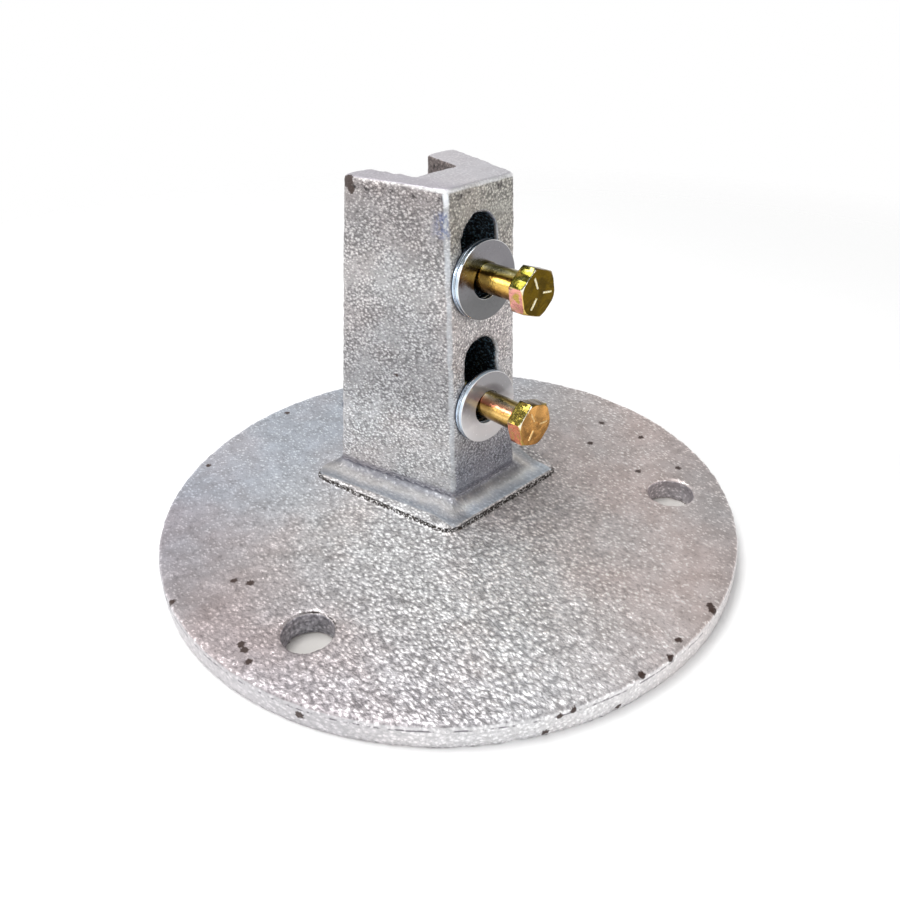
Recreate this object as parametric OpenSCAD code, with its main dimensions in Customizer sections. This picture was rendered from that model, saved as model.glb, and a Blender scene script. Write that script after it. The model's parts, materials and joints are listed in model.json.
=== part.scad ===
// Surface mount base: a round cast plate that bolts to the ground and holds a post in an
// upright, C-shaped socket. The slotted front wall of the socket faces -Y and the socket is
// open towards +Y and at its top. Origin: centre of the plate's underside, +Z up.

/* [Plate] */
// Diameter of the round plate
plate_d = 228.6; // [200:0.1:300]
// Thickness of the plate
plate_t = 9.5; // [6:0.1:16]
// Rounding of the rim's upper edge
rim_top_r = 1.6; // [0.5:0.1:3]
// Rounding of the rim's lower edge
rim_bottom_r = 1; // [0.5:0.1:3]

/* [Anchor holes] */
// Number of anchor holes
anchor_count = 3; // [3:1:6]
// Diameter of the circle through the holes' centres
anchor_pcd = 182.6; // [174:0.1:194]
// Diameter of an anchor hole
anchor_d = 18; // [10:0.1:20]
// Place of the circle's centre to the right of the plate's centre
anchor_x = 3.2; // [-4:0.1:4]
// Place of the circle's centre behind the plate's centre
anchor_y = 2.3; // [-4:0.1:4]
// Direction of the first hole, counted from +X
anchor_turn = -164.3; // [-180:0.1:180]
// Width of the bevel round the top of an anchor hole
anchor_bevel = 0.8; // [0.2:0.1:2]

/* [Upright] */
// Place of the upright's top to the right of the plate's centre
upright_x = 17.6; // [0:0.1:24]
// Angle by which the upright leans to the right
upright_lean = 0.7; // [0:0.1:2]
// Height of the upright's top above the ground
upright_h = 135; // [120:0.1:180]
// Place of the slotted face at the top, in front of (-) or behind (+) the plate's centre
face_y = -3.5; // [-20:0.1:10]
// Width of the slotted face at the top
face_w = 32.8; // [30:0.1:40]
// Depth of the upright at the top, from the slotted face to the ends of the legs
upright_depth = 44; // [38:0.1:60]
// Angle by which each leg flares out
flare = 14.4; // [8:0.1:20]
// Draft of the slotted face
draft = 1.3; // [0.5:0.1:3]
// Draft of the sides
side_draft = 0.8; // [0.3:0.1:3]
// Draft of the legs' ends
leg_end_draft = 5.4; // [1:0.1:7]
// Radius of the upright's corners
corner_r = 3; // [1:0.1:5]
// Rounding of the upright's top edge
crown_r = 1.4; // [0.5:0.1:2.5]

/* [Socket] */
// Thickness of the slotted wall
wall_t = 21; // [8:0.1:22]
// Width of the socket at the slotted wall
socket_root_w = 19.6; // [18:0.1:22]
// Angle by which each side of the socket flares out
socket_flare = 10.5; // [0:0.5:14]
// Sideways shift of the cores of the socket and the slots in the casting
socket_shift = -1.4; // [-2:0.1:2]
// Radius of the socket's inner corners
socket_root_r = 2; // [0.5:0.1:2]
// Radius at the inner corner of each leg's end
leg_lip_r = 4.5; // [1:0.1:5]

/* [Foot] */
// Width of the foot at its front edge
foot_w = 63.2; // [54:0.1:80]
// Angle by which each side of the foot flares out
foot_flare = 10.4; // [5:0.1:18]
// How far the foot stands out in front of the upright
foot_front_margin = 11.6; // [8:0.1:20]
// How far the foot stands out behind the legs
foot_back_margin = 2.8; // [2:0.1:12]
// Height of the step at the foot's edge
foot_step = 2; // [0.8:0.1:4]
// Height that the hollow fillet climbs above the step
fillet_rise = 3.4; // [2:0.1:10]
// Radius of the foot's corners
foot_corner_r = 7; // [3:0.1:12]

/* [Slots] */
// Width of a slot
slot_w = 17; // [14:0.1:19]
// Length of a slot, end to end
slot_len = 35; // [30:0.1:40]
// Height of the upper slot's middle
upper_slot_z = 107.4; // [100:0.1:110]
// Height of the lower slot's middle
lower_slot_z = 60.8; // [50:0.1:64]

/* [Bolts] */
// Diameter of a bolt
bolt_d = 10.7; // [8:0.1:11.6]
// Length of a bolt under its head
bolt_len = 50.8; // [48:0.1:64]
// Width of the head across its flats
head_flats = 15.9; // [13:0.1:19]
// Height of the head
head_h = 6.9; // [5:0.1:8]
// Height of the lower bolt
lower_bolt_z = 51.6; // [48:0.1:56]
// Distance between the two bolts
bolt_spacing = 50.8; // [48:0.1:54]
// Place of the bolts to the right of the slots' centre line
bolt_x = -0.1; // [-1:0.1:1]
// Turn of the upper head
upper_head_turn = 40; // [0:1:59]
// Turn of the lower head
lower_head_turn = 43; // [0:1:59]
// Bare shank between the washers and the head
shank_showing = 17.7; // [10:0.1:19]

/* [Washers] */
// Outer diameter of a washer
washer_d = 29; // [24:0.1:32]
// Diameter of a washer's hole
washer_hole_d = 13.4; // [12.6:0.1:15]
// Thickness of a washer
washer_t = 1.65; // [1.2:0.05:3]
// Sideways place of the inner washer against the outer one
inner_washer_slip = -0.1; // [-1:0.1:1]

/* [Clamp bar] */
// Length of the bar
bar_len = 76.2; // [70:0.1:82]
// Width of the bar
bar_w = 15.9; // [13:0.1:16]
// Thickness of the bar
bar_t = 7.9; // [5:0.1:10]

/* [Fits] */
// Gap between faces that lie on each other
seat_gap = 0.05; // [0.02:0.01:0.1]
// Radial clearance of the bolt in the bar
thread_gap = 0.05; // [0.02:0.01:0.1]

/* [Hidden] */

zinc = [0.70, 0.71, 0.72];
bright_zinc = [0.80, 0.82, 0.84];
yellow_zinc = [0.72, 0.58, 0.22];

// Points on each rounded corner, steps in the hollow fillet and in the rounded top edge
corner_steps = 5;
fillet_steps = 5;
crown_steps = 3;
// How far a cut runs past the face that it opens
overcut = 2;
// How far the foot is sunk into the plate and a shank into its head, so that the two are one solid
foot_sunk = 1;
shank_sunk = 1;
// Radius of the head's flat top as a share of its width, and the slope of the bevel round it
head_top_share = 0.52;
head_bevel = 30;
// Chamfers of a bolt's tip and of a washer's outer edge
tip_chamfer = 1;
washer_edge = 0.3;
round_fn = 96;

foot_top = plate_t + foot_step;

// Place of the slotted face and of the legs' ends at a height
function face_y_at(z) = face_y - (upright_h - z) * tan(draft);
function legs_y_at(z) = face_y + upright_depth + (upright_h - z) * tan(leg_end_draft);

function arc(centre, r, from, to, steps) =
    [for (i = [0 : steps]) let (a = from + (to - from) * i / steps) centre + r * [cos(a), sin(a)]];

// Outline of a block that flares by an angle on each side from its front y0 to its back y1, given
// half its width at the front, with rounded corners, counter-clockwise from above
function flared(y0, y1, half, angle, r) =
    let (
        w0 = half + r * tan(angle) - r / cos(angle),
        w1 = half + (y1 - r - y0) * tan(angle) - r / cos(angle)
    )
    concat(
        arc([-w0, y0 + r], r, 180 + angle, 270, corner_steps),
        arc([w0, y0 + r], r, 270, 360 - angle, corner_steps),
        arc([w1, y1 - r], r, -angle, 90, corner_steps),
        arc([-w1, y1 - r], r, 90, 180 + angle, corner_steps));

function upright_outline(z, inset, r) =
    let (y0 = face_y_at(z) + inset, side = (upright_h - z) * tan(side_draft) - inset)
    flared(y0, legs_y_at(z) - inset,
           face_w / 2 + (y0 - face_y) * tan(flare) + side / cos(flare), flare, r);
function foot_outline() =
    flared(face_y_at(foot_top) - foot_front_margin, legs_y_at(foot_top) + foot_back_margin,
           foot_w / 2, foot_flare, foot_corner_r);

// Place of the upright's centre line at a height
function lean_x(z) = upright_x - (upright_h - z) * tan(upright_lean);
function at_height(points, z) = [for (p = points) [p.x + lean_x(z), p.y, z]];

// Rings of the upright from the foot's underside to the crown
function foot_rings() = [for (z = [plate_t - foot_sunk, foot_top]) at_height(foot_outline(), z)];
function fillet_rings() = [
    for (i = [1 : fillet_steps])
        let (
            a = 90 * i / fillet_steps,
            z = foot_top + fillet_rise * (1 - cos(a)),
            inner = upright_outline(z, 0, corner_r)
        )
        at_height(inner + (foot_outline() - inner) * (1 - sin(a)), z)];
function crown_rings() = [
    for (i = [0 : crown_steps])
        let (
            a = 90 * i / crown_steps,
            z = upright_h - crown_r * (1 - sin(a)),
            inset = crown_r * (1 - cos(a))
        )
        at_height(upright_outline(z, inset, corner_r - inset), z)];

// Outline of the socket at a height, with the room behind the legs' ends
function socket_outline(z) =
    let (
        y0 = face_y_at(z) + wall_t / cos(draft),
        y1 = legs_y_at(z) - seat_gap,
        y2 = legs_y_at(z) + foot_back_margin + overcut,
        r = socket_root_r,
        w0 = socket_root_w / 2 + (r * sin(socket_flare) - r) / cos(socket_flare),
        w1 = socket_root_w / 2 + (y1 - leg_lip_r - y0) * tan(socket_flare)
             + leg_lip_r / cos(socket_flare)
    )
    concat(
        arc([-w0, y0 + r], r, 180 + socket_flare, 270, corner_steps),
        arc([w0, y0 + r], r, 270, 360 - socket_flare, corner_steps),
        arc([w1, y1 - leg_lip_r], leg_lip_r, 180 - socket_flare, 90, corner_steps),
        [[w1, y2], [-w1, y2]],
        arc([-w1, y1 - leg_lip_r], leg_lip_r, 90, socket_flare, corner_steps));

// Solid between rings that all have the same number of points
module loft(rings) {
    n = len(rings[0]);
    top = (len(rings) - 1) * n;
    sides = [
        for (k = [0 : len(rings) - 2], i = [0 : n - 1])
            let (a = k * n + i, b = k * n + (i + 1) % n)
            each [[a, a + n, b + n], [a, b + n, b]]];
    polyhedron(
        points = [for (ring = rings) each ring],
        faces = concat([[for (i = [0 : n - 1]) i]], sides, [[for (i = [n - 1 : -1 : 0]) top + i]]));
}

// Places its children on the slotted face: X to the right, Y up the face, Z straight out of it
module on_face() {
    translate([lean_x(0), face_y_at(0), 0])
        rotate([0, upright_lean, 0])
            rotate([90 - draft, 0, 0])
                children();
}

module plate() {
    r = plate_d / 2;
    rotate_extrude($fn = round_fn * 2)
        polygon(concat(
            [[0, 0]],
            arc([r - rim_bottom_r, rim_bottom_r], rim_bottom_r, -90, 0, 3),
            arc([r - rim_top_r, plate_t - rim_top_r], rim_top_r, 0, 90, 3),
            [[0, plate_t]]));
}

module anchor_hole() {
    translate([0, 0, -overcut])
        cylinder(d = anchor_d, h = plate_t + 2 * overcut, $fn = round_fn);
    translate([0, 0, plate_t - anchor_bevel])
        cylinder(d1 = anchor_d, d2 = anchor_d + 4 * anchor_bevel, h = 2 * anchor_bevel, $fn = round_fn);
}

module anchor_holes() {
    for (i = [0 : anchor_count - 1])
        translate([anchor_x, anchor_y, 0])
            rotate([0, 0, anchor_turn + i * 360 / anchor_count])
                translate([anchor_pcd / 2, 0, 0])
                    anchor_hole();
}

module upright() {
    loft(concat(foot_rings(), fillet_rings(), crown_rings()));
}

module socket() {
    translate([socket_shift, 0, 0])
        loft([for (z = [foot_top, upright_h + overcut]) at_height(socket_outline(z), z)]);
}

module slot(z) {
    half = (slot_len - slot_w) / 2;
    translate([socket_shift, z, -wall_t - overcut]) {
        for (s = [-half, half])
            translate([0, s, 0])
                cylinder(d = slot_w, h = wall_t + 2 * overcut, $fn = round_fn);
        translate([-slot_w / 2, -half, 0])
            cube([slot_w, 2 * half, wall_t + 2 * overcut]);
    }
}

module base_casting() {
    color(zinc)
        difference() {
            union() {
                plate();
                upright();
            }
            anchor_holes();
            socket();
            on_face() {
                slot(upper_slot_z);
                slot(lower_slot_z);
            }
        }
}

// Place of the washers' outer face, of the head's seat and of the bar's near face
washers_out = 2 * (washer_t + seat_gap);
head_seat = washers_out + shank_showing;
bar_near = -wall_t - seat_gap;

module bolt(z, turn) {
    tip = head_seat - bolt_len;
    top_r = head_top_share * head_flats;
    blank_r = head_flats / 2 / cos(30) + overcut;
    bevel_end = head_h - (blank_r - top_r) * tan(head_bevel);
    color(yellow_zinc)
        on_face()
            translate([socket_shift + bolt_x, z, 0]) {
                translate([0, 0, tip + tip_chamfer])
                    cylinder(d = bolt_d, h = bolt_len - tip_chamfer + shank_sunk, $fn = round_fn);
                translate([0, 0, tip])
                    cylinder(d1 = bolt_d - 2 * tip_chamfer, d2 = bolt_d, h = tip_chamfer, $fn = round_fn);
                translate([0, 0, head_seat])
                    intersection() {
                        rotate([0, 0, turn])
                            cylinder(d = head_flats / cos(30), h = head_h + overcut, $fn = 6);
                        rotate_extrude($fn = round_fn)
                            polygon([[0, -overcut], [blank_r, -overcut], [blank_r, bevel_end],
                                     [top_r, head_h], [0, head_h]]);
                    }
            }
}

// A washer hangs on the bolt, so its centre lies below the bolt's axis by the play in its hole
module washer(bolt_z, out, slip) {
    hang = (washer_hole_d - bolt_d) / 2 - seat_gap;
    drop = sqrt(hang * hang - slip * slip);
    r = washer_d / 2;
    color(bright_zinc)
        on_face()
            translate([socket_shift + bolt_x + slip, bolt_z - drop, out])
                rotate_extrude($fn = round_fn)
                    polygon([[washer_hole_d / 2, 0], [r, 0], [r, washer_t - washer_edge],
                             [r - washer_edge, washer_t], [washer_hole_d / 2, washer_t]]);
}

upper_bolt_z = lower_bolt_z + bolt_spacing;
outer_washer_out = washer_t + 2 * seat_gap;

module upper_bolt() {
    bolt(upper_bolt_z, upper_head_turn);
}

module lower_bolt() {
    bolt(lower_bolt_z, lower_head_turn);
}

module upper_washer_outer() {
    washer(upper_bolt_z, outer_washer_out, 0);
}

module upper_washer_inner() {
    washer(upper_bolt_z, seat_gap, inner_washer_slip);
}

module lower_washer_outer() {
    washer(lower_bolt_z, outer_washer_out, 0);
}

module lower_washer_inner() {
    washer(lower_bolt_z, seat_gap, inner_washer_slip);
}

module clamp_bar() {
    middle_z = lower_bolt_z + bolt_spacing / 2;
    color(zinc)
        on_face()
            difference() {
                translate([socket_shift - bar_w / 2, middle_z - bar_len / 2, bar_near - bar_t])
                    cube([bar_w, bar_len, bar_t]);
                for (z = [lower_bolt_z, upper_bolt_z])
                    translate([socket_shift + bolt_x, z, bar_near - bar_t - overcut])
                        cylinder(r = bolt_d / 2 + thread_gap, h = bar_t + 2 * overcut, $fn = round_fn);
            }
}

base_casting();
upper_bolt();
lower_bolt();
upper_washer_outer();
upper_washer_inner();
lower_washer_outer();
lower_washer_inner();
clamp_bar();
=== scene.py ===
"""Looks of a surface mount base: a galvanised cast plate and upright, two yellow zinc bolts, four
washers and a clamp bar, on a plain white floor. Lengths are in mm until an object is made."""

import json
import math

import bpy
from mathutils import Matrix, Vector, noise


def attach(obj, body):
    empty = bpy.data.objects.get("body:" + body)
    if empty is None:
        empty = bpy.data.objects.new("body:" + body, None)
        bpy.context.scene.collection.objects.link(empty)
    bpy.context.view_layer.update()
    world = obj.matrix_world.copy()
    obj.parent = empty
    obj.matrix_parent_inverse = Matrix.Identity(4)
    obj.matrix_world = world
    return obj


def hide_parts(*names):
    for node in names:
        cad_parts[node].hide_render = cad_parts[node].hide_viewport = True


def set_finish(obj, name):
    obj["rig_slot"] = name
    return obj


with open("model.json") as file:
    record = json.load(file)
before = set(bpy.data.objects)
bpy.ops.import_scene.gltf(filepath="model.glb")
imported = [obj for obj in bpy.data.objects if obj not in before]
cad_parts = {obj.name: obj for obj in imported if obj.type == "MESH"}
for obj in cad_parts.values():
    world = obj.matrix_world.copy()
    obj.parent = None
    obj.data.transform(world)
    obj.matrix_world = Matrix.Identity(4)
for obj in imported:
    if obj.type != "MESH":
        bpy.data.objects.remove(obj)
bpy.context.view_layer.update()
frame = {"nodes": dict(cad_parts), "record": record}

BODY = "root"
MM = 0.001

# The upright's slotted face, as the model has it
UPRIGHT_X = 17.6
UPRIGHT_H = 135
UPRIGHT_LEAN = math.radians(0.7)
FACE_Y = -3.5
DRAFT = math.radians(1.3)
WALL_T = 21
PLATE_R = 114.3
PLATE_T = 9.5
FILLET_TOP = 14.9
FOOT_BACK_Y = 52
FACE_W = 32.8
FACE_GROWTH = 1.7
FLARE = math.radians(14.4)

# Bolts
BOLT_X = -1.5
LOWER_BOLT_Z = 51.6
BOLT_SPACING = 50.8
BOLT_D = 10.7
BOLT_LEN = 50.8
HEAD_FLATS = 15.9
HEAD_H = 6.9
UPPER_HEAD_TURN = 40
LOWER_HEAD_TURN = 43
HEAD_CORNER_R = 0.35
HEAD_TOP_R = 8.05
HEAD_SLOPE = 30
HEAD_MARKS = (112, -8, -128)
MARK_RISE = 0.22
SEAT_FILLET = 0.5
SHANK_SHOWING = 17.7
THREAD_LEN = 25.4
THREAD_PITCH = 25.4 / 14
THREAD_DEPTH = 0.9
THREAD_STEPS = 8
TIP_CHAMFER = 1.0

# Washers
WASHER_D = 29
WASHER_HOLE_D = 13.4
WASHER_T = 1.65
WASHER_EDGE = 0.3
SEAT_GAP = 0.05
HEAD_SEAT = 2 * (WASHER_T + SEAT_GAP) + SHANK_SHOWING
INNER_SLIP = -0.1
WASHER_DROP = 1.3

# Room round the washers' seats, and round the bar's seat behind the wall: half width, bottom, top
SEAT_ROOM = 1.5
BAR_ROOM = (12, 36, 120)

# Colours round each shank, from its underside upwards: place and colour. They mix the yellow film's colours
# with painted light: the brightest bands are painted highlights, the darkest painted dark reflections
LOWER_BANDS = (
    (0.00, (0.22, 0.12, 0.03)),
    (0.10, (0.40, 0.24, 0.05)),
    (0.22, (0.90, 0.60, 0.20)),
    (0.34, (0.70, 0.42, 0.12)),
    (0.39, (0.28, 0.12, 0.04)),
    (0.46, (0.75, 0.28, 0.17)),
    (0.58, (0.88, 0.50, 0.30)),
    (0.70, (1.0, 0.92, 0.66)),
    (0.78, (0.85, 0.68, 0.25)),
    (0.85, (0.22, 0.15, 0.02)),
    (1.00, (0.12, 0.08, 0.01)),
)
UPPER_BANDS = (
    (0.00, (0.30, 0.15, 0.03)),
    (0.10, (0.45, 0.24, 0.05)),
    (0.22, (0.90, 0.60, 0.15)),
    (0.38, (0.60, 0.38, 0.08)),
    (0.44, (0.10, 0.05, 0.008)),
    (0.52, (0.16, 0.09, 0.015)),
    (0.58, (0.75, 0.58, 0.14)),
    (0.70, (1.0, 0.95, 0.55)),
    (0.80, (0.40, 0.36, 0.07)),
    (0.90, (0.14, 0.11, 0.015)),
    (1.00, (0.35, 0.25, 0.05)),
)

# The casting's skin: its mesh size, the height below which it stays flat, and its margin in the box
SKIN_VOXEL = 1.25
FLAT_BELOW = 0.02
BOX_MARGIN = 0.04

# Waves in the skin: length and depth of each. Within a reach of the upright they are shallower
SKIN_WAVES = ((17, 0.22), (4.2, 0.22), (2.1, 0.2))
CALM_REACH = 20
CALM_SHARE = 0.35

# How much finer the zinc's grain is than its noise
PLATE_FINENESS = 1.15
UPRIGHT_FINENESS = 1.7

# Rust spots and flaked zinc: x, y, z and reach of each, in mm
RUST_SPOTS = [(x, y, 9.5, 2.4) for x, y in (
    (-89, 18), (-85.5, 12.6), (-103.7, -11.5), (-104.4, -14.6), (-106, -20), (-110.8, 23.6),
    (-6.3, 108), (-57, 93.5), (21.2, -109.3), (19.8, -111.3), (0, -110.9), (-8, -113.4),
    (-20.4, -111.1), (95.6, -27.2), (93.2, -6.8), (75.3, -14), (85.8, -53.4), (71.9, -42.8))]
RUST_SPOTS += [
    (-9.1, 36.8, 133.2, 4.2), (-8.9, 35.5, 130.5, 2.6), (-6.7, 19.8, 62, 1.6), (-104.6, -46, 5, 2.6),
    (-45.6, -104.8, 8.3, 2.0), (-49.7, -102.9, 7.3, 1.8), (-30.1, -110.3, 2, 1.8), (-53.7, -100.9, 1.8, 2.0)]

# Camera: where it stands and looks, in mm, how far it is rolled, and its lens on a 36 mm sensor
CAMERA_AT = Vector((-182.77, -203.82, 206.80))
CAMERA_FORWARD = Vector((0.56807, 0.62526, -0.53511))
CAMERA_UP = Vector((0.38064, 0.37687, 0.84444))
CAMERA_LENS = 32.81


def make_mesh(name, points, faces, place=Matrix.Identity(4)):
    """An object from points in mm, put in its place, with its vertices in metres."""
    mesh = bpy.data.meshes.new(name)
    mesh.from_pydata([(place @ Vector(p)) * MM for p in points], [], faces)
    mesh.validate()
    obj = bpy.data.objects.new(name, mesh)
    bpy.context.scene.collection.objects.link(obj)
    return obj


def shade(obj, sharp_angle=40):
    """Smooth shading, but for edges sharper than an angle in degrees."""
    for polygon in obj.data.polygons:
        polygon.use_smooth = True
    obj.data.set_sharp_from_angle(angle=math.radians(sharp_angle))


def loft(name, rings, place):
    """A closed skin over rings with the same number of points, closed by a fan at each end."""
    count = len(rings[0])
    points = [p for ring in rings for p in ring]
    faces = []
    for k in range(len(rings) - 1):
        for i in range(count):
            j = (i + 1) % count
            faces.append((k * count + i, k * count + j, (k + 1) * count + j, (k + 1) * count + i))
    for ring, first, order in ((rings[0], 0, -1), (rings[-1], (len(rings) - 1) * count, 1)):
        middle = len(points)
        points.append([sum(c) / count for c in zip(*ring)])
        for i in range(count):
            j = (i + 1) % count
            faces.append((first + i, first + j, middle)[::order])
    return make_mesh(name, points, faces, place)


def on_face(x, up, out=0.0):
    """Places things on the slotted face: X to the right, Y up the face, Z straight out of it."""
    foot = Matrix.Translation((UPRIGHT_X - UPRIGHT_H * math.tan(UPRIGHT_LEAN),
                               FACE_Y - UPRIGHT_H * math.tan(DRAFT), 0))
    tilt = Matrix.Rotation(UPRIGHT_LEAN, 4, "Y") @ Matrix.Rotation(math.pi / 2 - DRAFT, 4, "X")
    return foot @ tilt @ Matrix.Translation((x, up, out))


def paint(obj, material):
    obj.data.materials.clear()
    obj.data.materials.append(material)
    return obj


def take_over(obj, node):
    """Puts a dressed piece in the place of its node."""
    obj["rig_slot"] = None
    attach(obj, BODY)
    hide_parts(node)
    slots = {part["node"]: part["material_slot"] for part in frame["record"]["subparts"]}
    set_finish(obj, slots[node])


def add_node(tree, kind, inputs=(), **settings):
    """A shader node with its settings, and its inputs set or linked."""
    node = tree.nodes.new("ShaderNode" + kind)
    for key, value in settings.items():
        setattr(node, key, value)
    for key, value in dict(inputs).items():
        if isinstance(value, bpy.types.NodeSocket):
            tree.links.new(value, node.inputs[key])
        else:
            node.inputs[key].default_value = value
    return node


def mix_colours(tree, factor, first, second, blend="MIX"):
    mixed = add_node(tree, "Mix", data_type="RGBA", blend_type=blend)
    for key, value in ((0, factor), (6, first), (7, second)):
        if isinstance(value, bpy.types.NodeSocket):
            tree.links.new(value, mixed.inputs[key])
        else:
            mixed.inputs[key].default_value = value
    return mixed.outputs[2]


def maths(tree, operation, *values, clamp=False):
    node = add_node(tree, "Math", enumerate(values), operation=operation, use_clamp=clamp)
    return node.outputs[0]


def grain(tree, place, size_mm, detail=2.0, roughness=0.5, distortion=0.0):
    """Noise whose lumps are about size_mm across."""
    inputs = {
        "Vector": place,
        "Scale": 1 / (size_mm * MM),
        "Detail": detail,
        "Roughness": roughness,
        "Distortion": distortion,
    }
    return add_node(tree, "TexNoise", inputs).outputs[0]


def spread(tree, value, low, high, to_low=0.0, to_high=1.0):
    """Stretches a value's range from low to high over another, with the ends clamped."""
    inputs = {0: value, 1: low, 2: high, 3: to_low, 4: to_high}
    return add_node(tree, "MapRange", inputs).outputs[0]


def new_material(name):
    material = bpy.data.materials.new(name)
    material.use_nodes = True
    tree = material.node_tree
    place = add_node(tree, "TexCoord").outputs["Object"]
    return material, tree, tree.nodes["Principled BSDF"], place


def bump(tree, shader, height, depth_mm, strength=1.0):
    inputs = {"Strength": strength, "Distance": depth_mm * MM, "Height": height}
    tree.links.new(add_node(tree, "Bump", inputs).outputs[0], shader.inputs["Normal"])


def parts_of(tree, vector):
    """The three coordinates of a vector."""
    node = add_node(tree, "SeparateXYZ", {0: vector})
    return node.outputs[0], node.outputs[1], node.outputs[2]


def within(tree, value, low, high, soft):
    """1 between two bounds, in mm, and 0 outside them, with soft ends."""
    rise = spread(tree, value, (low - soft) * MM, low * MM)
    fall = spread(tree, value, high * MM, (high + soft) * MM, 1.0, 0.0)
    return maths(tree, "MULTIPLY", rise, fall)


def both(tree, *masks):
    joined = masks[0]
    for mask in masks[1:]:
        joined = maths(tree, "MULTIPLY", joined, mask)
    return joined


def tinted(tree, colour, mask, tint):
    """A colour multiplied by a tint where a mask lies."""
    return mix_colours(tree, mask, colour, (*tint, 1), "MULTIPLY")


def fill_ramp(ramp, stops):
    """Sets a colour ramp's stops from pairs of position and colour."""
    elements = ramp.color_ramp.elements
    while len(elements) < len(stops):
        elements.new(0.5)
    for element, (position, colour) in zip(elements, stops):
        element.position = position
        element.color = (*colour, 1)
    return ramp.outputs[0]


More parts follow.
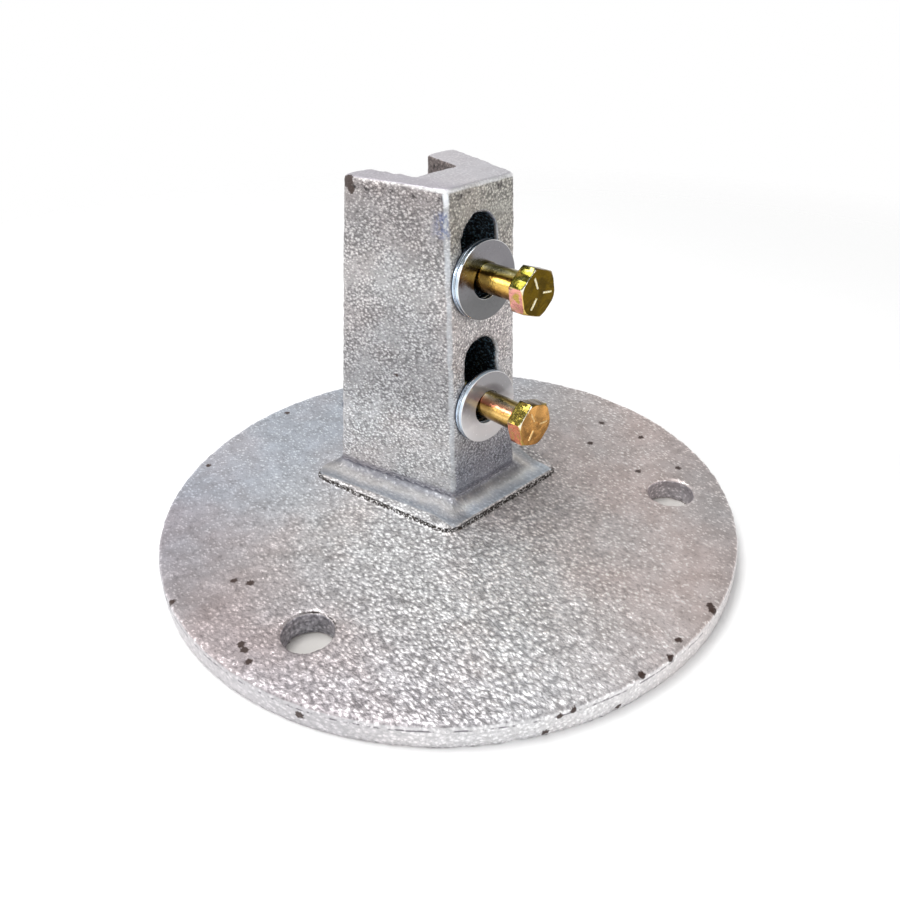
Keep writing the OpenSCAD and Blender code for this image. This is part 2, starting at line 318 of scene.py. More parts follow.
def galvanised():
    """Hot-dip zinc on a rough casting: grey, with dense small lumps and pits, a painted highlight on the
    highest grains, painted shade in the pits, and painted light and shade on the plate, rim, upright, foot,
    slots and holes.
    """
    material, tree, shader, place = new_material("galvanised_casting")
    x, y, z = parts_of(tree, place)
    flat_place = add_node(tree, "VectorMath", {0: place, 1: (1, 1, 0)}, operation="MULTIPLY").outputs[0]
    reach = add_node(tree, "VectorMath", {0: flat_place}, operation="LENGTH").outputs["Value"]
    nx, ny, nz = parts_of(tree, add_node(tree, "NewGeometry").outputs["Normal"])
    slant = {"Vector": place, "Rotation": (0.5, 0.3, 0.35), "Scale": (1, 0.62, 1)}
    streaks = add_node(tree, "Mapping", slant).outputs[0]
    upright_from = ((FILLET_TOP - 0.4) * MM, (FILLET_TOP + 1.6) * MM)
    fineness = spread(tree, z, *upright_from, PLATE_FINENESS, UPRIGHT_FINENESS)
    finer = {0: streaks, "Scale": fineness}
    streaks = add_node(tree, "VectorMath", finer, operation="SCALE").outputs[0]
    broad = grain(tree, place, 40, detail=3)
    cloud = grain(tree, place, 9, detail=4, roughness=0.6)
    lumps = grain(tree, streaks, 1.25, detail=2, roughness=0.6)
    grit = grain(tree, streaks, 0.6, detail=2, roughness=0.6)
    pits = grain(tree, place, 2.2, detail=3, roughness=0.7)
    cells = {"Vector": streaks, "Scale": 1 / (1.5 * MM), "Smoothness": 0.35}
    cells = add_node(tree, "TexVoronoi", cells, feature="SMOOTH_F1").outputs["Distance"]

    # Where things are: the plate's top and its coarse front, the upright, its top and its slots
    flat = spread(tree, nz, 0.75, 0.9)
    steep = spread(tree, maths(tree, "ABSOLUTE", nz), 0.75, 0.55)
    low = spread(tree, z, (PLATE_T + 1.1) * MM, (PLATE_T + 0.6) * MM)
    across = maths(tree, "ABSOLUTE", maths(tree, "SUBTRACT", x, y))
    ahead = spread(tree, maths(tree, "ADD", x, y), 0.06, -0.02)
    front = both(tree, spread(tree, across, 0.12, 0.03), ahead)
    upright = spread(tree, z, *upright_from)
    top = both(tree, flat, spread(tree, z, (UPRIGHT_H - 1.5) * MM, (UPRIGHT_H - 0.7) * MM))
    deep = maths(tree, "MULTIPLY_ADD", z, -math.tan(DRAFT), y)
    off_axis = maths(tree, "ABSOLUTE", maths(tree, "SUBTRACT", x, 0.0157))
    below_top = spread(tree, z, (UPRIGHT_H - 3.5) * MM, (UPRIGHT_H - 4.5) * MM)
    slots = both(tree, upright, within(tree, off_axis, -20, 9.2, 0.3),
                 within(tree, deep, -5.0, 15.4, 0.5), below_top)
    inner_wall_shade = both(tree, upright, within(tree, off_axis, -20, 14.5, 0.5),
                  spread(tree, deep, 0.0142, 0.0152), spread(tree, flat, 1.0, 0.0))
    apart = add_node(tree, "Attribute", attribute_name="apart").outputs["Fac"]
    skirt = spread(tree, apart, 11.4, 10.8)

    calm = maths(tree, "MAXIMUM", both(tree, low, spread(tree, front, 1.0, 0.0)), top)
    calm = maths(tree, "MAXIMUM", calm, maths(tree, "MULTIPLY", skirt, 0.75))
    domes = spread(tree, cells, 0.75, 0.1)
    relief = maths(tree, "ADD", maths(tree, "MULTIPLY", domes, 0.25),
                   maths(tree, "MULTIPLY_ADD", lumps, 0.4, maths(tree, "MULTIPLY", grit, 0.35)))

    # Grey zinc, with painted shade in the pits and a painted highlight, nearly white, on the highest grains
    base = mix_colours(tree, spread(tree, cloud, 0.32, 0.68), (0.45, 0.44, 0.44, 1), (0.60, 0.60, 0.61, 1))
    lively = spread(tree, grain(tree, place, 13, detail=2), 0.40, 0.60, 0.6, 1.1)
    lively = maths(tree, "MAXIMUM", lively, spread(tree, upright, 0, 1, 0.95, 0.0))
    height = maths(tree, "MULTIPLY", maths(tree, "SUBTRACT", relief, 0.5), spread(tree, calm, 0, 1, 1.0, 0.6))
    height = maths(tree, "MULTIPLY", height, lively)
    # Painted shade in the pits
    pit_shade = spread(tree, calm, 0, 1, 0.52, 0.40)
    pit_shade = maths(tree, "MULTIPLY", pit_shade, spread(tree, height, -0.055, -0.11))
    colour = mix_colours(tree, pit_shade, base, (0.08, 0.08, 0.085, 1))
    colour = mix_colours(tree, spread(tree, height, 0.022, 0.062, 0, 0.97), colour, (0.97, 0.97, 0.97, 1))

    # Tints: cool behind, warm at the sides, lighter or darker along the upright; painted light at the plate's
    # near end and painted shade along its left
    cool = both(tree, low, spread(tree, y, 0.02, 0.075))
    colour = tinted(tree, colour, cool, (0.97, 1.04, 1.14))
    warm = both(tree, low, spread(tree, maths(tree, "SUBTRACT", x, y), 0.04, 0.12))
    colour = tinted(tree, colour, warm, (1.22, 1.10, 1.06))
    far_right = both(tree, low, spread(tree, maths(tree, "SUBTRACT", x, y), 0.125, 0.15))
    colour = tinted(tree, colour, far_right, (0.82, 0.86, 0.88))
    # Painted light at the plate's near end
    near_end_light = both(tree, low, spread(tree, maths(tree, "ADD", x, y), -0.10, -0.14))
    colour = tinted(tree, colour, near_end_light, (1.15, 1.16, 1.18))
    # Painted shade along the plate's left
    left = both(tree, low, spread(tree, x, -0.045, -0.1))
    colour = tinted(tree, colour, left, (0.75, 0.69, 0.70))
    colour = tinted(tree, colour, spread(tree, broad, 0.45, 0.65), (1.05, 0.99, 0.97))
    side = both(tree, upright, spread(tree, nx, -0.7, -0.9))
    colour = tinted(tree, colour, both(tree, side, spread(tree, z, 0.085, 0.12)), (0.62, 0.60, 0.60))
    colour = tinted(tree, colour, both(tree, side, spread(tree, z, 0.06, 0.03)), (1.10, 1.12, 1.13))
    colour = tinted(tree, colour, both(tree, side, within(tree, z, 55, 85, 15)), (0.72, 0.72, 0.73))
    face = both(tree, upright, spread(tree, ny, -0.8, -0.95))
    colour = tinted(tree, colour, both(tree, face, spread(tree, z, 0.085, 0.12)), (0.70, 0.68, 0.62))
    colour = tinted(tree, colour, both(tree, face, within(tree, z, 68, 80, 15)), (1.01, 0.98, 0.98))
    # Painted shade low on the slotted face
    colour = tinted(tree, colour, both(tree, face, spread(tree, z, 0.045, 0.025)), (0.56, 0.58, 0.65))

    # The rim: painted light makes it nearly white, weaker on its left, with broken dark lines along its top
    # edge and a broken painted contact shadow along its bottom edge
    rim = both(tree, steep, spread(tree, reach, (PLATE_R - 1.8) * MM, (PLATE_R - 1.1) * MM))
    colour = mix_colours(tree, maths(tree, "MULTIPLY", rim, 0.5), colour, (0.88, 0.88, 0.89, 1))
    colour = tinted(tree, colour, both(tree, rim, spread(tree, x, -0.085, -0.1)), (0.86, 0.86, 0.87))
    # The rim's top edge, and its bottom edge, where the dark line is a painted contact shadow
    edge = maths(tree, "MAXIMUM", within(tree, z, 7.4, 7.8, 0.3), within(tree, z, -1, 0.5, 0.4))
    edge = both(tree, rim, edge, spread(tree, maths(tree, "ADD", cloud, pits), 0.93, 1.03))
    colour = tinted(tree, colour, edge, (0.35, 0.34, 0.36))

    # The upright's edges and top: a painted highlight along the top's rounded edges, strongest at the front,
    # and painted highlights down the front corner
    # Painted highlight on the top's rounded edges
    wear_and_highlight = both(tree, spread(tree, z, (UPRIGHT_H - 2.5) * MM, (UPRIGHT_H - 1.5) * MM),
                spread(tree, nz, 0.25, 0.5), spread(tree, nz, 0.95, 0.85),
                spread(tree, y, 0.014, -0.003, 0.05, 0.9), spread(tree, cloud, 0.35, 0.6, 0.4, 1.0))
    corner = both(tree, spread(tree, maths(tree, "MULTIPLY", nx, ny), 0.36, 0.46), upright)
    colour = mix_colours(tree, wear_and_highlight, colour, (0.97, 0.97, 0.98, 1))
    dent = both(tree, steep, within(tree, z, 131.2, 132.3, 0.7), spread(tree, pits, 0.5, 0.6))
    colour = tinted(tree, colour, dent, (0.25, 0.24, 0.25))
    # Painted highlight, pale and bluish, down the rounded front corner
    corner_highlight = both(tree, corner, spread(tree, cloud, 0.3, 0.55, 0.25, 0.75))
    colour = mix_colours(tree, corner_highlight, colour, (0.64, 0.67, 0.71, 1))
    near_corner = both(tree, upright, spread(tree, nx, -0.3, -0.6), spread(tree, y, 0.003, -0.001))
    blue = both(tree, near_corner, within(tree, z, 119.5, 126.5, 1.5), spread(tree, pits, 0.46, 0.54, 0, 0.6))
    colour = mix_colours(tree, blue, colour, (0.10, 0.14, 0.30, 1))
    # Painted highlight, nearly white, at the top of the front corner
    colour = mix_colours(tree, both(tree, corner, spread(tree, z, 0.128, 0.1325)), colour, (0.95, 0.97, 1, 1))
    colour = mix_colours(tree, maths(tree, "MULTIPLY", top, 0.6), colour, (0.65, 0.63, 0.68, 1))
    colour = tinted(tree, colour, both(tree, top, spread(tree, x, 0.012, 0.004)), (0.86, 0.85, 0.88))

    # The foot: painted shade where the fillet meets the upright, a painted highlight across the fillet and a
    # bluish band near its edge, darker on its left and lighter at its front, and a jagged black painted
    # shadow along its outer edge
    wander = maths(tree, "MULTIPLY_ADD", maths(tree, "SUBTRACT", cloud, 0.5), 7.0, apart)
    # Across the fillet: painted shade next to the upright, a painted highlight over its middle, then a bluish
    # band
    fillet_shade_and_highlight = fill_ramp(add_node(tree, "ValToRGB", {0: maths(tree, "DIVIDE", wander, 12)}), (
        (0.00, (0.16, 0.16, 0.19)),
        (0.12, (0.30, 0.30, 0.33)),
        (0.28, (0.52, 0.49, 0.47)),
        (0.45, (0.78, 0.74, 0.70)),
        (0.66, (0.50, 0.50, 0.52)),
        (0.82, (0.33, 0.36, 0.40)),
        (0.95, (0.55, 0.57, 0.60)),
    ))
    colour = mix_colours(tree, maths(tree, "MULTIPLY", skirt, 0.65), colour, fillet_shade_and_highlight)
    left_skirt = both(tree, skirt, spread(tree, x, -0.001, -0.005))
    colour = tinted(tree, colour, left_skirt, (0.72, 0.74, 0.77))
    front_skirt = both(tree, skirt, spread(tree, y, -0.008, -0.012), spread(tree, left_skirt, 1, 0))
    colour = tinted(tree, colour, front_skirt, (1.35, 1.45, 1.52))
    near_foot = spread(tree, reach, 0.085, 0.08)
    # Painted shade where the fillet meets the upright
    crease_shade = both(tree, within(tree, z, 13.5, 15.6, 1.8), steep, near_foot)
    colour = tinted(tree, colour, crease_shade, (0.50, 0.50, 0.55))
    # A jagged black painted shadow along the foot's outer edge
    edge_of_foot = within(tree, z, PLATE_T - 0.3, PLATE_T + 1.4, 0.3)
    step_shadow = both(tree, edge_of_foot, near_foot, spread(tree, nz, 0.95, 0.85))
    speck = spread(tree, grit, 0.60, 0.54)
    colour = mix_colours(tree, both(tree, step_shadow, speck), colour, (0.025, 0.02, 0.017, 1))

    # Slots, socket and holes, then rust: painted shade with painted bluish glints in the slots, painted shade
    # on the socket's inner walls and in the holes
    # Painted shade, near black, with painted bluish glints in the slots
    slot_glints = spread(tree, lumps, 0.52, 0.62)
    slot_shade_and_glints = mix_colours(tree, slot_glints, (0.012, 0.017, 0.026, 1), (0.24, 0.38, 0.50, 1))
    colour = mix_colours(tree, slots, colour, slot_shade_and_glints)
    # Painted shade on the socket's inner walls
    colour = tinted(tree, colour, inner_wall_shade, (0.36, 0.32, 0.31))
    # Painted shade, bluish, on the walls of the holes
    bore_shade = both(tree, steep, within(tree, z, 0.3, 8.6, 0.3), spread(tree, rim, 1.0, 0.0))
    colour = tinted(tree, colour, bore_shade, (0.74, 0.77, 0.83))
    rust = add_node(tree, "Attribute", attribute_name="rust").outputs["Fac"]
    ragged = maths(tree, "MULTIPLY_ADD", grit, 0.7, maths(tree, "MULTIPLY_ADD", pits, 0.6, rust))
    patch = spread(tree, ragged, 0.98, 1.10)
    colour = mix_colours(tree, patch, colour, (0.045, 0.025, 0.02, 1))
    tree.links.new(colour, shader.inputs["Base Color"])
    tree.links.new(spread(tree, patch, 0, 1, 0.7, 0.0), shader.inputs["Metallic"])
    tree.links.new(spread(tree, relief, 0.35, 0.65, 0.55, 0.32), shader.inputs["Roughness"])
    bump(tree, shader, relief, 0.5, spread(tree, calm, 0, 1, 1.0, 0.45))
    return material


def yellow_zinc(name, head_y, front, sides, shine, upper_side, bands):
    """Yellow passivated zinc: bands round the shank that mix film colour with painted highlights and painted
    dark reflections, and a tint on each facet set by which way it faces, partly painted light. Front, sides,
    shine and upper_side are the colours of the head's front, of its lower sides, of the painted highlight
    streaks on its upper facets and of its upper sides. Bands are the shank's colours from its underside
    upwards."""
    material, tree, shader, place = new_material(name)
    y = parts_of(tree, place)[1]
    nx, ny, nz = parts_of(tree, add_node(tree, "NewGeometry").outputs["Normal"])
    film = grain(tree, place, 4, detail=3, distortion=0.8)
    scuff = grain(tree, place, 0.9, detail=4)
    # The shank's colour by which way its surface faces: film colour with painted highlights and painted dark
    # reflections
    turn = maths(tree, "MULTIPLY_ADD", nx, 0.343, maths(tree, "MULTIPLY_ADD", nz, 0.364, 0.5))
    turn = maths(tree, "MULTIPLY_ADD", maths(tree, "SUBTRACT", film, 0.5), 0.12, turn)
    shank = fill_ramp(add_node(tree, "ValToRGB", {0: turn}), bands)
    # Facet tints by which way each faces, partly painted light
    facets = mix_colours(tree, spread(tree, nz, 0.2, 0.45), (*sides, 1), (*upper_side, 1))
    # Painted highlight streaks on the upper facets
    streaks = both(tree, spread(tree, film, 0.55, 0.63), spread(tree, nz, 0.0, 0.4, 0.45, 1.0))
    facets = mix_colours(tree, streaks, facets, (*shine, 1))
    facets = mix_colours(tree, spread(tree, film, 0.45, 0.36), facets, (0.55, 0.38, 0.09, 1))
    # Painted dark reflection, near black, on the facet facing up
    facets = mix_colours(tree, spread(tree, nz, 0.86, 0.92), facets, (0.08, 0.045, 0.01, 1))
    dark = tuple(0.55 * c for c in front)
    cover = mix_colours(tree, spread(tree, film, 0.38, 0.6), (*dark, 1), (*front, 1))
    # Bevels: a painted highlight where they face up, painted shade where they face to the right
    bevel = mix_colours(tree, spread(tree, nz, 0.0, 0.12), (0.80, 0.58, 0.16, 1), (1.0, 0.96, 0.78, 1))
    bevel = mix_colours(tree, spread(tree, nx, -0.2, -0.05), bevel, (0.20, 0.12, 0.02, 1))
    head = mix_colours(tree, spread(tree, ny, -0.35, -0.6), facets, bevel)
    head = mix_colours(tree, spread(tree, ny, -0.93, -0.97), head, cover)
    colour = mix_colours(tree, spread(tree, y, (head_y + 0.3) * MM, (head_y - 0.3) * MM), shank, head)
    tree.links.new(colour, shader.inputs["Base Color"])
    shader.inputs["Metallic"].default_value = 1.0
    tree.links.new(spread(tree, scuff, 0.3, 0.7, 0.12, 0.28), shader.inputs["Roughness"])
    bump(tree, shader, maths(tree, "ADD", scuff, film), 0.10, 0.6)
    return material


def mark_zinc(name, dull, bright):
    """The worn tops of the marks on a head."""
    material, tree, shader, place = new_material(name)
    wear = grain(tree, place, 0.8, detail=3)
    colour = mix_colours(tree, spread(tree, wear, 0.35, 0.6), (*dull, 1), (*bright, 1))
    tree.links.new(colour, shader.inputs["Base Color"])
    shader.inputs["Metallic"].default_value = 0.8
    shader.inputs["Roughness"].default_value = 0.4
    return material


def bright_zinc(name, low, top, up=0.0, rim=(1.0, 1.0, 1.0), wall=(0.62, 0.74, 0.86), coat=0.0):
    """Bright zinc on rolled steel, with faint scuffs, painted highlights on its edges and painted shadow in
    the seams where washers meet.
    Its level goes from low to top over the piece, whose middle lies up mm above the ground: a painted
    reflection."""
    material, tree, shader, place = new_material(name)
    y, z = parts_of(tree, place)[1:]
    ny, nz = parts_of(tree, add_node(tree, "NewGeometry").outputs["Normal"])[1:]
    cloud = grain(tree, place, 7, detail=3)
    # Painted reflection: the level changes from the bottom of the piece to its top
    rise = maths(tree, "MULTIPLY_ADD", maths(tree, "SUBTRACT", cloud, 0.5), 12 * MM, z)
    rise = spread(tree, rise, (up - 6) * MM, (up + 6) * MM)
    colour = mix_colours(tree, rise, (low, low, 1.02 * low, 1), (top, 0.97 * top, 1.03 * top, 1))
    # Painted highlight on the edges
    colour = mix_colours(tree, spread(tree, ny, -0.97, -0.85), colour, (*rim, 1))
    edge = spread(tree, ny, -0.5, -0.25)
    colour = mix_colours(tree, edge, colour, (*wall, 1))
    face_y = maths(tree, "MULTIPLY_ADD", z, math.tan(DRAFT), (FACE_Y - UPRIGHT_H * math.tan(DRAFT)) * MM)
    out = maths(tree, "SUBTRACT", face_y, y)
    # Painted shadow in the seams, against the face and under the walls
    seam_shadow = maths(tree, "MAXIMUM", within(tree, out, 1.4, 1.95, 0.15), spread(tree, out, 0.7 * MM, 0.5 * MM))
    seam_shadow = maths(tree, "MAXIMUM", seam_shadow, spread(tree, nz, -0.2, -0.6, 0, 0.8))
    colour = mix_colours(tree, both(tree, edge, seam_shadow), colour, (0.02, 0.035, 0.09, 1))
    tree.links.new(colour, shader.inputs["Base Color"])
    shader.inputs["Metallic"].default_value = 0.2 if coat else 1.0
    shader.inputs["Coat Weight"].default_value = coat
    shader.inputs["Coat IOR"].default_value = 2.2
    scuff = grain(tree, place, 0.9, detail=4)
    tree.links.new(spread(tree, scuff, 0.3, 0.7, 0.12, 0.28), shader.inputs["Roughness"])
    bump(tree, shader, scuff, 0.015, 0.5)
    return material


def remeshed(node, name, voxel_mm):
    """A copy of a node's mesh in even, small faces, drawn back on to the node's surfaces."""
    source = frame["nodes"][node]
    copy = bpy.data.objects.new(name, source.data.copy())
    bpy.context.scene.collection.objects.link(copy)
    remesh = copy.modifiers.new("remesh", "REMESH")
    remesh.mode = "VOXEL"
    remesh.voxel_size = voxel_mm * MM
    smooth = copy.modifiers.new("smooth", "SMOOTH")
    smooth.factor = 0.5
    smooth.iterations = 1
    wrap = copy.modifiers.new("wrap", "SHRINKWRAP")
    wrap.target = source
    wrap.wrap_method = "NEAREST_SURFACEPOINT"
    evaluated = copy.evaluated_get(bpy.context.evaluated_depsgraph_get())
    mesh = bpy.data.meshes.new_from_object(evaluated)
    copy.modifiers.clear()
    copy.data = mesh
    mesh.name = name
    return copy


def near_hardware(point):
    """Whether a point in mm lies where a washer or the bar has its seat."""
    local = on_face(BOLT_X, 0).inverted() @ point
    if abs(local.z) < 1:
        heights = (LOWER_BOLT_Z, LOWER_BOLT_Z + BOLT_SPACING)
        reach = WASHER_D / 2 + SEAT_ROOM
        return any((local.xy - Vector((0, z - WASHER_DROP))).length < reach for z in heights)
    half_width, bottom, top = BAR_ROOM
    return abs(local.z + WALL_T) < 1 and abs(local.x) < half_width and bottom < local.y < top


def beside_upright(point):
    """Distance in mm of a point near the foot from the upright's outline, and a large one elsewhere."""
    if not PLATE_T + 0.2 < point.z < FILLET_TOP + 0.2:
        return 99.0
    fall = UPRIGHT_H - FILLET_TOP
    x = abs(point.x - UPRIGHT_X + fall * math.tan(UPRIGHT_LEAN))
    ahead = FACE_Y - fall * math.tan(DRAFT) - point.y
    behind = point.y - FOOT_BACK_Y
    side_x = FACE_W / 2 + FACE_GROWTH + (max(point.y, -6) - FACE_Y) * math.tan(FLARE)
    return max(0.0, ahead, behind, (x - side_x) * math.cos(FLARE))


def cast_skin(casting):
    """Gives the casting the lumps and hollows of its sand mould and its zinc, within its box."""
    mesh = casting.data
    apart = mesh.attributes.new("apart", "FLOAT", "POINT")
    gaps = [beside_upright(vertex.co / MM) for vertex in mesh.vertices]
    apart.data.foreach_set("value", gaps)
    moved = []
    for vertex, gap in zip(mesh.vertices, gaps):
        point = vertex.co / MM
        if point.z < FLAT_BELOW:
            moved.append(vertex.co.copy())
            continue
        push = sum(depth * noise.noise(point / length) for length, depth in SKIN_WAVES)
        if near_hardware(point):
            push = min(0.0, push) * 0.5
        elif gap < CALM_REACH:
            push *= CALM_SHARE
        point = point + vertex.normal * push
        reach = point.xy.length
        if reach > PLATE_R - BOX_MARGIN:
            point.xy = point.xy * ((PLATE_R - BOX_MARGIN) / reach)
        point.z = min(max(point.z, 0), UPRIGHT_H - 0.01)
        moved.append(point * MM)
    mesh.vertices.foreach_set("co", [c for co in moved for c in co])
    mesh.update()
    rust = mesh.attributes.new("rust", "FLOAT", "POINT")
    levels = [max(1 - (co / MM - Vector(spot[:3])).length / spot[3] for spot in RUST_SPOTS) for co in moved]
    rust.data.foreach_set("value", [max(0, level) for level in levels])
    for polygon in mesh.polygons:
        polygon.use_smooth = True


def head_angles():
    """Directions round a hexagon, closer together near its corners."""
    offsets = (-24, -18, -13, -8, -4, -1.8, -0.9, 0, 0.9, 1.8, 4, 8, 13, 18, 24, 30)
    return [(60 * k + offset, offset) for k in range(6) for offset in offsets]


def hexagon_radius(offset):
    """Distance from the middle to a hexagon's side, with rounded corners."""
    inner = (HEAD_FLATS / 2 - HEAD_CORNER_R) / math.cos(math.radians(30))
    meets = HEAD_CORNER_R * 0.5 / (inner + HEAD_CORNER_R * math.cos(math.radians(30)))
    if abs(offset) <= math.degrees(math.atan(meets)):
        a = math.radians(offset)
        return inner * math.cos(a) + math.sqrt(HEAD_CORNER_R**2 - (inner * math.sin(a)) ** 2)
    return HEAD_FLATS / 2 / math.cos(math.radians(30 - abs(offset)))


def bolt_rings(turn_deg):
    """Rings of a bolt from its tip to the middle of its head. Z is 0 at the seat of the head."""
    angles = head_angles()
    turn = math.radians(turn_deg)

    def ring(radius_of, height_of):
        made = []
        for angle, offset in angles:
            a = turn + math.radians(angle)
            r = radius_of(a, offset)
            made.append((r * math.cos(a), r * math.sin(a), height_of(r)))
        return made

    def round_ring(r, z):
        return ring(lambda a, offset: r, lambda radius: z)

    shank_r = BOLT_D / 2
    root_r = shank_r - THREAD_DEPTH
    rings = [round_ring(root_r - 0.6, -BOLT_LEN), round_ring(root_r, -BOLT_LEN + 0.4)]
    turns = THREAD_LEN / THREAD_PITCH
    for k in range(int(turns * THREAD_STEPS) + 1):
        z = -BOLT_LEN + TIP_CHAMFER + k * THREAD_PITCH / THREAD_STEPS
        fade = min(1, (k + 1) / THREAD_STEPS, (turns * THREAD_STEPS - k + 1) / THREAD_STEPS)
        run_out = k / (turns * THREAD_STEPS)

        def thread_radius(a, offset):
            phase = (z / THREAD_PITCH - a / (2 * math.pi)) % 1
            ridge = min(1, max(0, (abs(phase - 0.5) * 2 - 0.1) / 0.75))
            depth = THREAD_DEPTH * (1 - ridge)
            entry = THREAD_DEPTH * (1 - fade) if run_out < 0.5 else 0
            return shank_r - max(entry, depth * (fade if run_out > 0.5 else 1))

        rings.append(ring(thread_radius, lambda radius: z))
    rings.append(round_ring(shank_r, -BOLT_LEN + TIP_CHAMFER + THREAD_LEN + 0.6))
    rings.append(round_ring(shank_r, -4))
    for k in range(5):
        a = math.radians(90 * k / 4)
        r = shank_r + SEAT_FILLET * (1 - math.cos(a))
        rings.append(round_ring(r, -SEAT_FILLET * (1 - math.sin(a))))
    flats_r = HEAD_FLATS / 2
    slope = math.tan(math.radians(HEAD_SLOPE))
    rings.append(round_ring(flats_r - 0.5, 0))
    rings.append(round_ring(flats_r - 0.3, 0.15))
    rings.append(ring(lambda a, offset: hexagon_radius(offset) - 0.25,
                      lambda r: 0.15 + 0.3 * (r - flats_r + 0.3)))
    rings.append(ring(lambda a, offset: hexagon_radius(offset),
                      lambda r: 0.45 + 0.3 * (r - flats_r)))

    def top_height(r):
        return HEAD_H - MARK_RISE - max(0, r - HEAD_TOP_R) * slope

    rings.append(ring(lambda a, offset: hexagon_radius(offset), lambda r: top_height(r) - 0.22))
    rings.append(ring(lambda a, offset: hexagon_radius(offset) - 0.22, top_height))
    rings.append(ring(lambda a, offset: min(hexagon_radius(offset) - 0.24, HEAD_TOP_R), top_height))
    rings.append(ring(lambda a, offset: min(hexagon_radius(offset) - 0.6, HEAD_TOP_R - 0.3), top_height))
    rings.append(round_ring(HEAD_TOP_R * 0.5, HEAD_H - MARK_RISE))
    return rings


def head_mark(angle):
    """Corners and faces of one raised radial bar on a head."""
    along = Vector((math.cos(math.radians(angle)), math.sin(math.radians(angle)), 0))
    aside = Vector((-along.y, along.x, 0))
    points = []
    for height, grow in ((HEAD_H - MARK_RISE - 0.2, 0.15), (HEAD_H - 0.01, 0)):
        for reach, side in ((1.9, -1), (6.3, -1), (6.3, 1), (1.9, 1)):
            points.append(along * reach + aside * side * (0.32 + grow) + Vector((0, 0, height)))
    faces = [(0, 3, 2, 1), (4, 5, 6, 7), (0, 1, 5, 4), (1, 2, 6, 5), (2, 3, 7, 6), (3, 0, 4, 7)]
    return points, faces


def joined(name, objects):
    """One object from several, under one name."""
    with bpy.context.temp_override(active_object=objects[0], selected_editable_objects=objects):
        bpy.ops.object.join()
    objects[0].name = name
    return objects[0]


def make_bolt(node, name, up, turn, gold, wear_and_highlight):
    place = on_face(BOLT_X, up, HEAD_SEAT)
    pieces = [paint(loft(name, bolt_rings(turn), place), gold)]
    for k, angle in enumerate(HEAD_MARKS):
        mark = make_mesh(f"{name}_mark_{k}", *head_mark(angle + turn - UPPER_HEAD_TURN), place)
        pieces.append(paint(mark, wear_and_highlight))
    bolt = joined(name, pieces)
    shade(bolt)
    take_over(bolt, node)


def washer_profile():
    """Section of a washer as pairs of radius and height, round its ring."""
    inner, outer, edge = WASHER_HOLE_D / 2, WASHER_D / 2, WASHER_EDGE
    corners = (
        (inner + edge, edge, 180, 270),
        (outer - edge * 0.6, edge * 0.6, 270, 360),
        (outer - edge, WASHER_T - edge, 0, 90),
        (inner + edge * 0.6, WASHER_T - edge * 0.6, 90, 180),
    )
    radii = (edge, edge * 0.6, edge, edge * 0.6)
    profile = []
    for (x, z, start, end), r in zip(corners, radii):
        for k in range(4):
            a = math.radians(start + (end - start) * k / 3)
            profile.append((x + r * math.cos(a), z + r * math.sin(a)))
    return profile


def make_washer(side, layer, bolt_up, out, slip, material):
    """A washer that hangs on the bolt, so that it lies lower by the play in its hole."""
    hang = (WASHER_HOLE_D - BOLT_D) / 2 - SEAT_GAP
    drop = math.sqrt(hang * hang - slip * slip)
    profile = washer_profile()
    count = 96
    points = []
    for i in range(count):
        a = 2 * math.pi * i / count
        points += [(r * math.cos(a), r * math.sin(a), z) for r, z in profile]
    n = len(profile)
    faces = []
    for i in range(count):
        j = (i + 1) % count
        for k in range(n):
            m = (k + 1) % n
            faces.append((i * n + k, j * n + k, j * n + m, i * n + m))
    place = on_face(BOLT_X + slip, bolt_up - drop, out)
    washer = make_mesh(f"{side}_flat_washer_{layer}", points, faces, place)
    shade(washer, 50)
    take_over(paint(washer, material), f"{side}_washer_{layer}")


def dress():
    casting = remeshed("base_casting", "cast_base", SKIN_VOXEL)
    cast_skin(casting)
    take_over(paint(casting, galvanised()), "base_casting")
    back_washer = bright_zinc("bright_zinc_back", 0.78, 0.78, rim=(0.75, 0.82, 0.9))
    upper_z = LOWER_BOLT_Z + BOLT_SPACING
    golds = {
        "lower": {"front": (0.74, 0.38, 0.11), "sides": (0.78, 0.26, 0.15), "shine": (0.52, 0.42, 0.18),
                  "upper_side": (0.55, 0.44, 0.09), "bands": LOWER_BANDS},
        "upper": {"front": (0.14, 0.085, 0.002), "sides": (0.80, 0.36, 0.30), "shine": (0.32, 0.30, 0.10),
                  "upper_side": (0.20, 0.18, 0.025), "bands": UPPER_BANDS},
    }
    marks = {
        "lower": mark_zinc("worn_marks_lower", (0.72, 0.40, 0.12), (0.95, 0.72, 0.36)),
        "upper": mark_zinc("worn_marks_upper", (0.75, 0.62, 0.25), (1, 0.97, 0.8)),
    }
    hardware = (
        ("lower", LOWER_BOLT_Z, LOWER_HEAD_TURN, (1.0, 0.26, LOWER_BOLT_Z - 1), 0.6),
        ("upper", upper_z, UPPER_HEAD_TURN, (0.165, 0.24, upper_z - 2), 0.0),
    )
    for side, up, turn, levels, coat in hardware:
        seat = on_face(BOLT_X, up, HEAD_SEAT).translation.y
        gold = yellow_zinc("yellow_zinc_" + side, seat, **golds[side])
        front_washer = bright_zinc("bright_zinc_" + side, *levels, coat=coat)
        make_bolt(side + "_bolt", side + "_hex_bolt", up, turn, gold, marks[side])
        make_washer(side, "outer", up, WASHER_T + 2 * SEAT_GAP, 0, front_washer)
        make_washer(side, "inner", up, SEAT_GAP, INNER_SLIP, back_washer)
    dull = bright_zinc("dull_zinc_bar", 0.05, 0.05, rim=(0.1, 0.1, 0.1), wall=(0.05, 0.05, 0.05))
    paint(frame["nodes"]["clamp_bar"], dull)


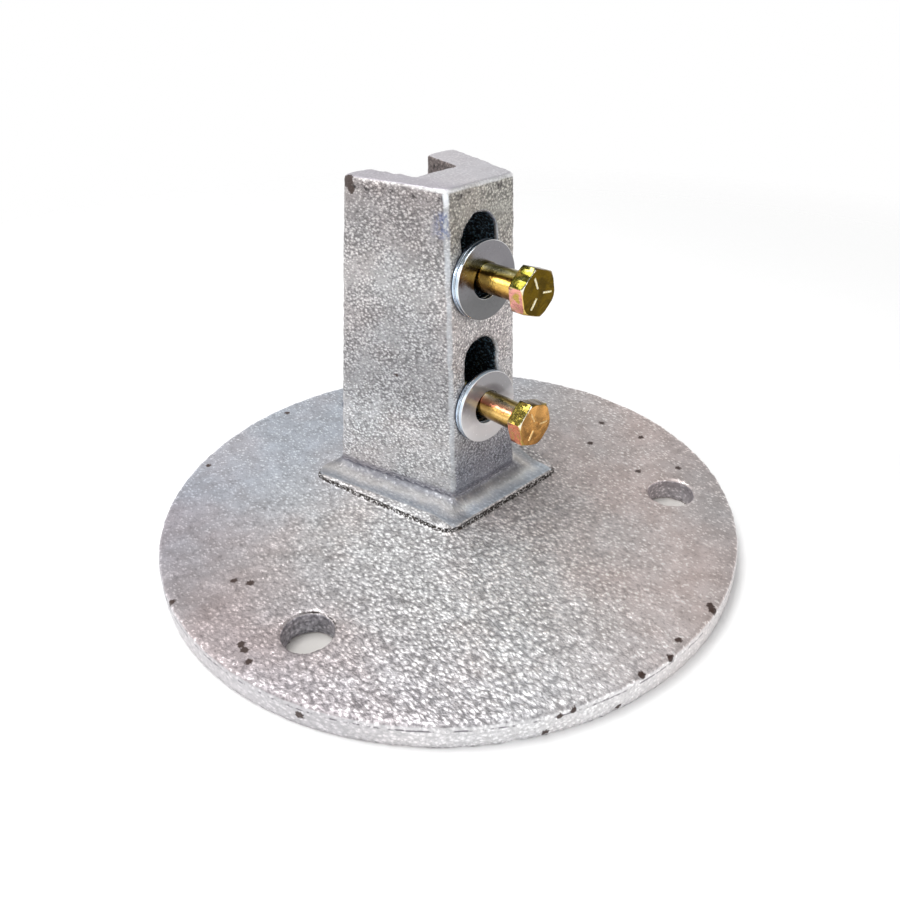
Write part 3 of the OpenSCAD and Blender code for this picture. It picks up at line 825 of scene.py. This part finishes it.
def add_floor():
    """A round white floor that fades out into the white background, with a painted shadow on the part under
    the plate.
    """
    bpy.ops.mesh.primitive_circle_add(vertices=96, radius=0.7, fill_type="NGON", location=(0, 0, 0))
    floor = bpy.context.object
    floor.name = "floor"
    material = bpy.data.materials.new("floor")
    material.use_nodes = True
    tree = material.node_tree
    shader = tree.nodes["Principled BSDF"]
    shader.inputs["Roughness"].default_value = 0.9
    place = add_node(tree, "TexCoord").outputs["Object"]
    reach = add_node(tree, "VectorMath", {0: place}, operation="LENGTH").outputs["Value"]
    # Painted shadow on the floor under the plate, seen through its holes
    apart = spread(tree, reach, 0.105, 0.111)
    floor_colour_with_shadow = mix_colours(tree, apart, (0.72, 0.70, 0.67, 1), (0.95, 0.95, 0.95, 1))
    tree.links.new(floor_colour_with_shadow, shader.inputs["Base Color"])
    clear = add_node(tree, "BsdfTransparent")
    mixed = add_node(tree, "MixShader", {0: spread(tree, reach, 0.25, 0.6)})
    tree.links.new(shader.outputs[0], mixed.inputs[1])
    tree.links.new(clear.outputs[0], mixed.inputs[2])
    tree.links.new(mixed.outputs[0], tree.nodes["Material Output"].inputs[0])
    floor.data.materials.append(material)


def add_light(name, place, target, size, watts):
    light = bpy.data.lights.new(name, "AREA")
    light.shape = "RECTANGLE"
    light.size, light.size_y = size
    light.energy = watts
    obj = bpy.data.objects.new(name, light)
    bpy.context.scene.collection.objects.link(obj)
    obj.location = place
    obj.rotation_euler = (Vector(target) - Vector(place)).to_track_quat("-Z", "Y").to_euler()
    return obj


def add_world():
    """A white backdrop up to the horizon and a dimmer studio above, with less light than it shows."""
    world = bpy.data.worlds.new("studio")
    bpy.context.scene.world = world
    world.use_nodes = True
    tree = world.node_tree
    background = tree.nodes["Background"]
    rays = add_node(tree, "LightPath")
    way = add_node(tree, "SeparateXYZ", {0: add_node(tree, "TexCoord").outputs["Generated"]})
    shown = spread(tree, way.outputs[2], 0.22, 0.6, 1.0, 0.15)
    cast = spread(tree, way.outputs[2], 0.0, 0.6, 0.58, 0.40)
    seen = maths(tree, "MAXIMUM", rays.outputs["Is Camera Ray"], rays.outputs["Is Glossy Ray"])
    seen = maths(tree, "MAXIMUM", seen, rays.outputs["Is Transmission Ray"])
    level = add_node(tree, "Mix", {0: seen, 2: cast, 3: shown}, data_type="FLOAT").outputs[0]
    tree.links.new(level, background.inputs["Strength"])
    background.inputs["Color"].default_value = (1, 1, 1, 1)


def add_camera():
    data = bpy.data.cameras.new("camera")
    data.lens = CAMERA_LENS
    data.sensor_width = 36
    data.clip_start, data.clip_end = 0.01, 20
    camera = bpy.data.objects.new("camera", data)
    bpy.context.scene.collection.objects.link(camera)
    right = CAMERA_FORWARD.cross(CAMERA_UP)
    axes = Matrix((right, CAMERA_UP, -CAMERA_FORWARD)).transposed()
    camera.matrix_world = Matrix.Translation(CAMERA_AT * MM) @ axes.to_4x4()
    bpy.context.scene.camera = camera


def light_scene():
    add_world()
    middle = (0, 0, 0.05)
    add_light("overhead", (-0.15, 0.25, 1.1), middle, (0.7, 0.5), 8.5)
    add_light("left", (-1.0, -0.25, 0.6), middle, (0.5, 0.7), 3.2)
    add_light("front", (0.1, -1.2, 0.7), middle, (0.6, 0.5), 3)
    add_light("back_left", (-0.75, 0.8, 0.55), middle, (0.3, 0.5), 3)


bpy.context.scene.view_settings.view_transform = "Standard"
add_camera()
dress()
add_floor()
light_scene()
